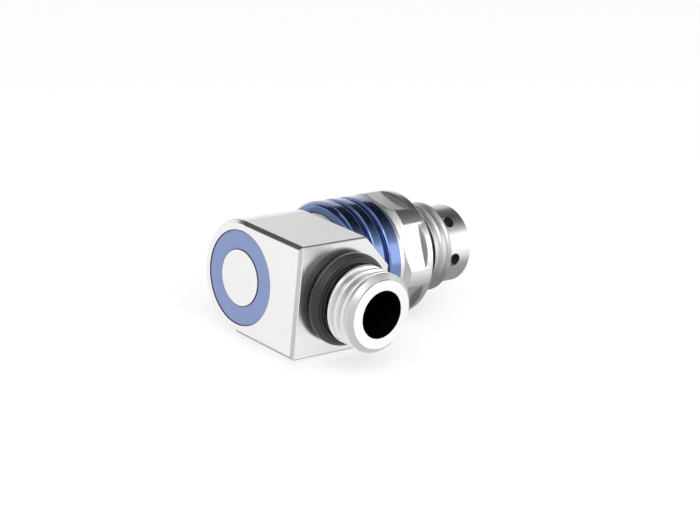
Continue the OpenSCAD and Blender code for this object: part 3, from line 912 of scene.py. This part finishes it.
@dataclass
class PortThread:
    """The port's stub from the undercut to its end, with a cut thread.

    Depths are counted from the block's front face and radii from the port's axis.
    The sinks bury the feet of the ridge and of the last turn in the stub.
    """

    axis_x: float
    face_y: float
    crest_r: float = 8.0
    depth: float = 0.95
    pitch: float = 2.0
    foot_half: float = 0.36
    crest_half: float = 0.13
    foot_sink: float = 0.25
    foot_spread: float = 0.1
    bore_r: float = 4.8
    start: float = STUB_START
    end: float = 11.6
    chamfer: float = 1.1
    chamfer_gap: float = 0.02
    neck_r: float = 6.15
    thread_from: float = 3.9
    thread_to: float = 10.2
    last_foot: float = 0.7
    last_crest: float = 0.25
    last_nose: float = 0.8
    last_sink: float = 0.3
    nose_sink: float = 0.1
    stub_round: float = 0.12
    ridge_round: float = 0.1
    turn_steps: int = 72

    @property
    def root_r(self) -> float:
        """The radius between the turns."""
        return self.crest_r - self.depth

    @property
    def cone(self) -> float:
        """The depth where the end chamfer begins."""
        return self.end - self.chamfer

    @staticmethod
    def _outline(
        bm: bmesh.types.BMesh, points: list[tuple[float, float]],
    ) -> tuple[list[bmesh.types.BMVert], list[bmesh.types.BMEdge]]:
        """Draws a closed outline beside the port axis, which here runs through the origin.

        Args:
            bm: The mesh it goes into.
            points: Radius and depth of each corner.

        Returns:
            Its corners and its edges.
        """
        verts = [bm.verts.new((r * MM, -d * MM, 0.0)) for r, d in points]
        edges = [bm.edges.new(ends) for ends in zip(verts, verts[1:] + verts[:1])]
        return verts, edges

    def _ring(self, bm: bmesh.types.BMesh, profile: list[tuple[float, float]], round_r: float) -> None:
        """Spins a closed profile about the port axis and rounds its edges.

        Args:
            bm: The mesh it goes into.
            profile: Radius and depth of each corner.
            round_r: Width of the rounding.
        """
        before = set(bm.edges)
        verts, edges = self._outline(bm, profile)
        bmesh.ops.spin(bm, geom=verts + edges, cent=(0, 0, 0), axis=(0, 1, 0), angle=math.tau,
                       steps=self.turn_steps, use_merge=True, use_normal_flip=False, use_duplicate=False)
        round_edges(bm, [e for e in sharp_edges(bm) if e not in before], round_r)

    def _helix(self, bm: bmesh.types.BMesh) -> None:
        """Spins one thread ridge, cut off at the undercut and at the end chamfer.

        Args:
            bm: The mesh it goes into.
        """
        foot_r = self.root_r - self.foot_sink
        foot = self.foot_half * self.pitch + self.foot_spread
        crest = self.crest_half * self.pitch
        length = self.thread_to - self.thread_from
        turns = length / self.pitch
        steps = int(turns * self.turn_steps)
        ridge = [(foot_r, -foot), (foot_r, foot), (self.crest_r, crest), (self.crest_r, -crest)]
        verts, edges = self._outline(bm, [(r, self.thread_from + d) for r, d in ridge])
        bmesh.ops.contextual_create(bm, geom=edges)
        step = Vector((0, -length / steps * MM, 0))
        bmesh.ops.spin(bm, geom=verts + edges, cent=(0, 0, 0), axis=(0, 1, 0), dvec=step,
                       angle=math.tau * turns, steps=steps, use_merge=False, use_duplicate=False)
        round_edges(bm, sharp_edges(bm), self.ridge_round)
        bmesh.ops.holes_fill(bm, edges=cut_across_port(bm, -self.start, 1))
        for vert in bm.verts:
            past = -vert.co.y / MM - self.cone
            away = vert.co.xz.length
            if past > 0 and away > (self.crest_r - past) * MM:
                vert.co.xz *= (self.crest_r - past - self.chamfer_gap) * MM / away

    def build(self, body: str, materials: Materials) -> bpy.types.Object:
        """Makes the stub.

        Args:
            body: The CAD body it rides on.
            materials: The finishes by name.

        Returns:
            The piece.
        """
        bm = bmesh.new()
        self._helix(bm)
        self._ring(bm, [
            (self.bore_r, self.start), (self.neck_r, self.start), (self.root_r, self.start),
            (self.root_r, self.cone), (self.crest_r - self.chamfer, self.end), (self.bore_r, self.end),
        ], self.stub_round)
        self._ring(bm, [
            (self.root_r - self.last_sink, self.cone - self.last_foot),
            (self.root_r, self.cone - self.last_foot),
            (self.crest_r, self.cone - self.last_crest),
            (self.crest_r, self.cone),
            (self.root_r - self.nose_sink, self.cone + self.last_nose),
        ], self.ridge_round)
        bmesh.ops.recalc_face_normals(bm, faces=bm.faces)
        bmesh.ops.translate(bm, verts=bm.verts, vec=(self.axis_x * MM, self.face_y * MM, 0.0))
        marked = mark_regions(bm, (PORT_BORE, PORT_NECK, THREAD_ROOT, STUB_END, STUB_FACE))
        finishes = ["thread_steel", *marked]
        piece = finish_piece(bm, "port_thread", [materials[name] for name in finishes], body)
        return piece


@dataclass
class PortSeal:
    """The rubber ring behind the thread, with three fine mould lines."""

    axis_x: float
    face_y: float
    mean_r: float = 7.8
    section: float = 3.2
    gap: float = 0.05
    line_angles: tuple[float, ...] = (-38.0, -74.0, -112.0)
    line_width: float = 7.0
    line_depth: float = 0.09
    section_steps: int = 60
    turn_steps: int = 96

    def build(self, body: str, material: bpy.types.Material) -> bpy.types.Object:
        """Makes the ring.

        Args:
            body: The CAD body it rides on.
            material: Its finish.

        Returns:
            The piece.
        """
        bm = bmesh.new()
        made = bmesh.ops.create_circle(
            bm, cap_ends=False, segments=self.section_steps, radius=self.section / 2 * MM,
        )
        for vert in made["verts"]:
            angle = math.degrees(math.atan2(vert.co.y, vert.co.x))
            near = min(abs(angle - line) for line in self.line_angles)
            vert.co *= 1.0 - self.line_depth * max(0.0, 1.0 - near / self.line_width)
        bmesh.ops.translate(bm, verts=bm.verts, vec=(self.mean_r * MM, 0, 0))
        bmesh.ops.spin(bm, geom=bm.verts[:] + bm.edges[:], cent=(0, 0, 0), axis=(0, 1, 0), angle=math.tau,
                       steps=self.turn_steps, use_merge=True, use_duplicate=False)
        bmesh.ops.recalc_face_normals(bm, faces=bm.faces)
        place = (self.axis_x * MM, (self.face_y - self.section / 2 - self.gap) * MM, 0.0)
        bmesh.ops.translate(bm, verts=bm.verts, vec=place)
        piece = finish_piece(bm, "port_seal_ring", [material], body)
        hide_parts("port_seal")
        return piece


@dataclass
class Coupling:
    """The whole coupling."""

    frame: dict
    copies: tuple[RoundedCopy, ...] = (
        RoundedCopy(
            "elbow_block", "body", 0.1, "satin_steel", "satin_steel",
            cut_beyond=PORT_FACE_Y - STUB_START,
            regions=(
                PORT_BORE, FLOW_BORE, PORT_NECK, FRONT_EDGES, CORNER_CHAMFER, LEFT_FRONT,
                LEFT_CHAMFERS, LEFT_RIM, MARKER_OUTER, MARKER_INNER,
            ),
        ),
        RoundedCopy(
            "hex_body", "body", 0.12, "turned_steel", "satin_steel",
            regions=(COLLAR_CAVITY, COLLAR_SHOULDER, FLAT_SHOULDERS),
        ),
        RoundedCopy(
            "ribbed_sleeve", "body", 0.22, "blue_anodised", "blue_anodised",
            soft_region=GROOVE_FLOORS, soft_radius=0.55,
        ),
        RoundedCopy(
            "release_sleeve", "release_sleeve", 0.08, "turned_steel", "satin_steel",
            regions=(WINDOW_WALLS, FIRST_GROOVE, GRIP_LANDS), soft_region=GRIP_CRESTS,
        ),
        RoundedCopy("inner_barrel", "body", 0.08, "bore_steel", "bright_steel", regions=(WINDOW_FLOORS,)),
        RoundedCopy("colour_ring", "body", 0.06, "blue_marker", "blue_marker"),
    )
    springs: tuple[Spring, ...] = (
        Spring("sleeve_spring", "body", "spring_wire", "spring_wire"),
        Spring("valve_spring", "body", "spring_wire", "spring_wire"),
    )
    plain: dict[str, str] = field(default_factory=lambda: {
        "joint_seal": "black_rubber",
        "mouth_seal": "black_rubber",
        "valve_seal": "black_rubber",
        "stem_seal": "black_rubber",
        "retaining_ring": "spring_wire",
        "valve_sleeve": "turned_steel",
        "valve_stem": "turned_steel",
        "stem_carrier": "bore_steel",
        "stem_nut": "bore_steel",
    })

    def build(self, materials: Materials) -> None:
        """Builds and dresses every piece.

        Args:
            materials: The finishes by name.
        """
        nodes = self.frame["nodes"]
        for copy in self.copies:
            LOG.info("built %s", copy.build(nodes, materials).name)
        thread = PortThread(axis_x=PORT_X, face_y=PORT_FACE_Y).build("body", materials)
        LOG.info("built %s", thread.name)
        seal = PortSeal(axis_x=PORT_X, face_y=PORT_FACE_Y).build("body", materials["black_rubber"])
        LOG.info("built %s", seal.name)
        for spring in self.springs:
            LOG.info("built %s", spring.build(self.frame, materials).name)
        for node, finish in self.plain.items():
            self.dress(nodes[node], materials[finish])
        for name, obj in nodes.items():
            if name.startswith("locking_ball"):
                self.dress(obj, materials["ball_steel"])

    @staticmethod
    def dress(obj: bpy.types.Object, material: bpy.types.Material) -> None:
        """Gives a CAD node its finish.

        Args:
            obj: The node's object.
            material: The finish.
        """
        obj.data.materials.clear()
        obj.data.materials.append(material)
        LOG.info("dressed %s with %s", obj.name, material.name)


def main() -> None:
    """Builds the looks in order."""
    logging.basicConfig(level=logging.INFO)
    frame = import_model()
    cad_low, cad_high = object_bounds()
    bpy.context.scene.view_settings.view_transform = "Standard"
    View().build()
    effects = Effects()
    materials = {finish.name: finish.build(effects) for finish in FINISHES}
    Coupling(frame).build(materials)
    Studio(floor_z=cad_low.z - FLOOR_GAP).build()


if __name__ == "__main__":
    main()
